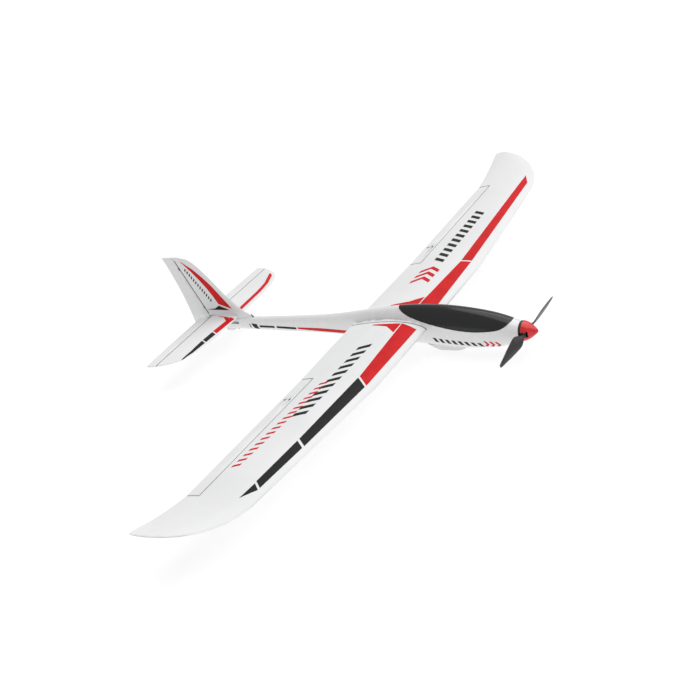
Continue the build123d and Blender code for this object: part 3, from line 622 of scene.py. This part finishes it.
def fan(outer, inner):
    # a strip between two edges with the same number of points, as four-sided patches
    return [[a, b, d, c] for a, b, c, d in zip(outer, outer[1:], inner, inner[1:])]


print("cutting the printed films")
rightWingRed = [[(299, -35), (259, -46), (262, -261), (290, -238)],
                [(301, -36), (301, -72), (330, -50), (330, -39)],
                [(330, -39), (330, -50), (372, -43), (372, -40)]]
rightWingBlack = [[(291, -243), (263, -266), (279, -472), (299, -457)],
                  [(299.5, -463), (280, -478), (292, -605), (308, -592)],
                  [(308.3, -597), (292.5, -611), (311.5, -643), (316, -690)]]
leftWingRed = [[(299, 35), (259, 46), (268, 249), (292, 244)],
               [(292.3, 249), (268.3, 254), (299, 659), (319, 697)],
               [(301, 36), (301, 78), (330, 56), (330, 39)],
               [(330, 39), (330, 56), (372, 44), (372, 40)]]
film("wingStripeRedRight", "wing_right", top, rightWingRed, "red")
film("wingStripeBlackRight", "wing_right", top, rightWingBlack, "black")
film("wingMarkBlackRight", "wing_right", top, bars((341, -132), (347, -380), 11, 12, 28, 0.5), "black")
film("wingMarkRedRight", "wing_right", top, bars((361, -270), (383, -555), 17, 7, 17, 0.5), "red")
film("wingStripeRedLeft", "wing_left", top, leftWingRed, "red")
film("wingMarkBlackLeft", "wing_left", top, bars((352, 252), (357, 488), 11, 12, 30, -0.5), "black")
film("wingMarkRedLeft", "wing_left", top, chevrons((352, 172), (0, 24), 3, 26, 12), "red")

sideMark = bars((232, -13), (126, -22.5), 8, 8, 12, 0.45)
for side, facing in (("Right", rightSide), ("Left", leftSide)):
    film("bodyMarkBlack" + side, "fuselage_shell", facing, sideMark, "black")
    film("bodyMarkRed" + side, "fuselage_shell", facing,
         chevrons((105, -20), (-12.5, -1.4), 3, 8.5, 6), "red")
    boomRed = [[(462, -3.5), (462, -16), (545, -9.5), (611, -6.2), (611, 0.6), (545, 0.4)]]
    boomBlack = [[(616, 0.5), (616, -6.0), (673, -3.4), (673, 2.4)],
                 [(680, 2.4), (680, -3.2), (725, -2.6), (725, 3.1)],
                 [(748, 8.0), (732, 6.0), (729, -8.5), (742, -7.0)],
                 [(756, 6), (753.4, 6), (751.4, -4), (754, -4)]]
    film("boomStripeRed" + side, "fuselage_shell", facing, boomRed, "red")
    film("boomStripeBlack" + side, "fuselage_shell", facing, boomBlack, "black")
    finRed = fan([(908, 175), (878, 153), (857, 131), (838, 107), (818, 75), (798, 44)],
                 [(908, 174), (885, 147), (868, 123), (855, 102), (844, 80), (835, 57.5)])
    finBlack = [[(836, 53), (806, 41), (842, 41)], [(836, 53), (842, 41), (850, 45.5)],
                [(850, 45.5), (842, 41), (877, 41)]]
    film("finBandRed" + side, "fin", facing, finRed, "red")
    film("finSwooshBlack" + side, "fin", facing, finBlack, "black")
    film("finMark" + side, "fin", facing, bars((902, 151), (855, 68), 13, 3.6, 8, 0.4), "black")

stabRedRight = [[(788, -19), (803, -14), (810, -79), (793, -86)],
                [(804.5, -16), (804.5, -32), (822, -17), (822, -13)],
                [(822, -13), (822, -17), (842, -14), (842, -12)]]
stabBlackRight = [[(793.5, -90), (809.5, -83), (812, -118), (796.5, -125)],
                  [(797, -129), (812.5, -121.5), (812, -165), (802.5, -170)],
                  [(802.5, -170), (812, -165), (815, -202), (813.5, -203)]]
stabRedLeft = [[(796, 20), (807.5, 20), (810, 112), (798.5, 114)],
               [(798.5, 114), (810, 112), (815, 152), (805, 156)],
               [(805, 156), (815, 152), (829, 190), (819, 193)],
               [(819, 193), (829, 190), (834, 203), (831, 205)]]
film("tailplaneRedRight", "horizontal_stabiliser", top, stabRedRight, "red")
film("tailplaneBlackRight", "horizontal_stabiliser", top, stabBlackRight, "black")
film("tailplaneRedLeft", "horizontal_stabiliser", top, stabRedLeft, "red")
# black film lines painted along the hinge gaps of the ailerons, elevator and rudder, as the shade that
# falls in those gaps
aileronLine = {"hinge": 403.2, "inner": 248.0, "outer": 650.0, "tail": 434.0, "width": 1.1}


def hingeGapShade(side):
    # painted shade: black film along the hinge gap and round both ends of the aileron, standing in for
    # the shade in the gap
    line, width = aileronLine, aileronLine["width"]
    inner, outer = side * line["inner"], side * line["outer"]
    front, back = line["hinge"], line["hinge"] - width
    ends = [[(front, edge), (front, edge + out * width), (line["tail"], edge + out * width),
             (line["tail"], edge)] for edge, out in ((inner, -side), (outer, side))]
    return [[(front, inner), (back, inner), (back, outer), (front, outer)]] + ends


# painted shade: black lines over the aileron and elevator hinge gaps
for side, hand in ((1, "Left"), (-1, "Right")):
    film("aileronLine" + hand, "wing_" + hand.lower(), top, hingeGapShade(side), "black")
    film("elevatorLine" + hand, "horizontal_stabiliser", top,
         [[(867.9, side * 9), (869.5, side * 9), (869.5, side * 232), (867.9, side * 232)]], "black")
# painted shade: black lines over the rudder's hinge gap on both sides of the fin
for name, facing in (("finLineLeft", leftSide), ("finLineRight", rightSide)):
    film(name, "fin", facing, [[(878.6, 30), (880.6, 30), (926.9, 176), (924.9, 176)]], "black")
for skin in skins.values():
    bpy.data.objects.remove(skin)

# ---- battery strap: a woven band pulled tight round the battery and its tray
strapSettings = {"thickness": 0.0012, "corner": 0.0028, "softEdge": 0.0003}


def strapPiece():
    low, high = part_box("battery_strap")
    middle = (low + high) / 2
    size = high - low
    bpy.ops.mesh.primitive_cube_add(size=1, location=middle)
    band = bpy.context.object
    bpy.ops.object.mode_set(mode="EDIT")
    bpy.ops.transform.resize(value=(size.x, size.y, size.z))
    pickFaces(band, lambda face: abs(face.normal.x) > 0.5)
    bpy.ops.mesh.delete(type="FACE")
    bpy.ops.mesh.select_mode(type="EDGE")
    bpy.ops.mesh.select_all(action="DESELECT")
    bpy.ops.object.mode_set(mode="OBJECT")
    points = band.data.vertices
    for edge in band.data.edges:
        first, second = (points[index].co for index in edge.vertices)
        edge.select = abs(first.x - second.x) > size.x / 2
    bpy.ops.object.mode_set(mode="EDIT")
    bpy.ops.mesh.bevel(offset=strapSettings["corner"], segments=5)
    bpy.ops.mesh.select_all(action="SELECT")
    bpy.ops.mesh.subdivide(number_cuts=2)
    bpy.ops.object.mode_set(mode="OBJECT")
    applyPlace(band)
    addModifier(band, "SOLIDIFY", thickness=strapSettings["thickness"], offset=-1)
    addModifier(band, "BEVEL", width=strapSettings["softEdge"], segments=2)
    applyAll(band)
    band.name = "batteryStrapWeb"
    smooth(band, 40)
    finishPiece(band, "airframe", looks["webbing"])
    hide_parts("battery_strap")
    return band


clearSelection()
strapPiece()

# ---- small fittings: cross-head screws on the servos, and the aerial's guide
screwSettings = {"radius": 0.0019, "height": 0.0012, "dome": 0.55, "slot": 0.00032,
                 "slotDepth": 0.0005, "slotReach": 1.2}


def facesUp(face):
    return face.normal.z > 0.9


def crossScrew(name, place, towards):
    # a domed head with a cross recess, standing on place and facing towards
    size = screwSettings
    radius, height = size["radius"], size["height"]
    clearSelection()
    bpy.ops.mesh.primitive_cylinder_add(vertices=24, radius=radius, depth=height,
                                        location=(0, 0, height / 2))
    screw = bpy.context.object
    screw.name = name
    pickFaces(screw, facesUp)
    bpy.ops.mesh.bevel(offset=height * size["dome"], segments=3)
    applyPlace(screw)
    for turn in (0, 90):
        clearSelection()
        bpy.ops.mesh.primitive_cube_add(size=1, location=(0, 0, height))
        cutter = bpy.context.object
        cutter.scale = (radius * size["slotReach"], size["slot"] * 2, size["slotDepth"] * 2)
        cutter.rotation_euler.z = math.radians(turn)
        applyPlace(cutter)
        addModifier(screw, "BOOLEAN", object=cutter, solver="EXACT")
        applyAll(screw)
        bpy.data.objects.remove(cutter)
    smooth(screw, 30)
    screw.matrix_world = (Matrix.Translation(place)
                          @ towards.to_track_quat("Z", "Y").to_matrix().to_4x4())
    applyPlace(screw)
    return screw


def screwSet(name, places, towards, slot):
    heads = [crossScrew(name, place, towards) for place in places]
    piece = joined(heads, name)
    finishPiece(piece, "airframe", looks[slot])
    return piece


# reach is from the case's middle to a lug's hole; below is from the case's end to the lug's face
servoLug = {"reach": 14.1, "below": 5.0, "spline": 4.8}


def servoScrews():
    for name, node, facing in (("aileronServoScrewsLeft", "aileron_servo_left", (0, 1, 0)),
                               ("aileronServoScrewsRight", "aileron_servo_right", (0, -1, 0)),
                               ("elevatorServoScrews", "elevator_servo", (0, 1, 0)),
                               ("rudderServoScrews", "rudder_servo", (0, 0, 1))):
        low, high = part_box(node)
        facing = Vector(facing)
        middle = (low + high) / 2
        depth = abs((high - low).dot(facing)) / 2 - (servoLug["spline"] + servoLug["below"]) * mm
        reach = Vector((servoLug["reach"] * mm, 0, 0))
        lugs = [middle + facing * depth + reach, middle + facing * depth - reach]
        screwSet(name, lugs, facing, "steel")


print("adding the small fittings")
servoScrews()

antennaSettings = {"station": 744.5, "height": 18.0, "radius": 0.0012, "rise": 0.0055,
                   "lean": 0.004, "collar": 0.0022, "collarDepth": 0.003, "wall": 0.35,
                   "bore": (0.0006, 0, -0.001), "softEdge": 0.00015}


def antennaGuide():
    # a short leaning tube on the boom ahead of the fin, in a collar
    size = antennaSettings
    middle = up(size["height"]) + size["collarDepth"] / 2
    clearSelection()
    bpy.ops.mesh.primitive_cylinder_add(vertices=24, radius=size["collar"],
                                        depth=size["collarDepth"],
                                        location=(fore(size["station"]), 0, middle))
    guide = bpy.context.object
    guide.name = "antennaGuide"
    applyPlace(guide)
    pickFaces(guide, facesUp)
    bpy.ops.mesh.inset(thickness=size["collar"] - size["radius"])
    for step in range(3):
        bpy.ops.mesh.extrude_region_move(
            TRANSFORM_OT_translate={"value": (-size["lean"] / 3, 0, size["rise"] / 3)})
    bpy.ops.mesh.inset(thickness=size["radius"] * size["wall"])
    bpy.ops.mesh.extrude_region_move(TRANSFORM_OT_translate={"value": size["bore"]})
    bpy.ops.object.mode_set(mode="OBJECT")
    addModifier(guide, "BEVEL", width=size["softEdge"], segments=2, limit_method="ANGLE")
    applyAll(guide)
    smooth(guide, 40)
    finishPiece(guide, "airframe", looks["black_nylon"])


antennaGuide()

# ---- stage, light and camera
cameraSettings = {"place": (1.5063, -1.8122, 1.1989), "azimuth": 39.87, "elevation": 27.21,
                  "roll": -18.66, "lens": 59.04}
lightSettings = {"sky": 0.53, "sun": 1.85, "softness": 75.0, "strip": 1.2, "floorGlow": 0.74}


def makeCamera():
    data = bpy.data.cameras.new("camera")
    data.lens = cameraSettings["lens"]
    data.sensor_width = 36
    data.clip_end = 50
    camera = bpy.data.objects.new("camera", data)
    bpy.context.scene.collection.objects.link(camera)
    turn = Euler((math.radians(90 - cameraSettings["elevation"]), 0,
                  math.radians(cameraSettings["azimuth"]))).to_matrix()
    turn = turn @ Matrix.Rotation(math.radians(cameraSettings["roll"]), 3, "Z")
    camera.matrix_world = Matrix.Translation(cameraSettings["place"]) @ turn.to_4x4()
    bpy.context.scene.camera = camera


def areaLight(name, place, target, size, power):
    data = bpy.data.lights.new(name, "AREA")
    data.shape = "RECTANGLE"
    data.size, data.size_y = size
    data.energy = power
    light = bpy.data.objects.new(name, data)
    bpy.context.scene.collection.objects.link(light)
    aim = Vector(target) - Vector(place)
    light.matrix_world = Matrix.Translation(place) @ aim.to_track_quat("-Z", "Y").to_matrix().to_4x4()


def softSun(towards):
    data = bpy.data.lights.new("softSun", "SUN")
    data.energy = lightSettings["sun"]
    data.angle = math.radians(lightSettings["softness"])
    sun = bpy.data.objects.new("softSun", data)
    bpy.context.scene.collection.objects.link(sun)
    sun.matrix_world = Vector(towards).to_track_quat("Z", "Y").to_matrix().to_4x4()


def makeStage():
    clearSelection()
    bpy.ops.mesh.primitive_plane_add(size=30, location=(0, 0, 0))
    floor = bpy.context.object
    floor.name = "floor"
    # partly lit from within, so that the shadow on it stays faint
    look = Look("paleFloor", (0.3, 0.3, 0.3), 0.9, Emission_Color=(1, 1, 1, 1),
                Emission_Strength=lightSettings["floorGlow"])
    floor.data.materials.append(look.material)
    world = bpy.data.worlds.new("softSky")
    world.use_nodes = True
    world.node_tree.nodes["Background"].inputs["Color"].default_value = (1, 1, 1, 1)
    world.node_tree.nodes["Background"].inputs["Strength"].default_value = lightSettings["sky"]
    bpy.context.scene.world = world
    bpy.context.scene.view_settings.view_transform = "Standard"


makeCamera()
makeStage()
softSun((0.3, 0.42, 1.0))
areaLight("strip", (0.3, 1.3, 1.5), (0.3, 0, 0.1), (2.0, 0.03), lightSettings["strip"])
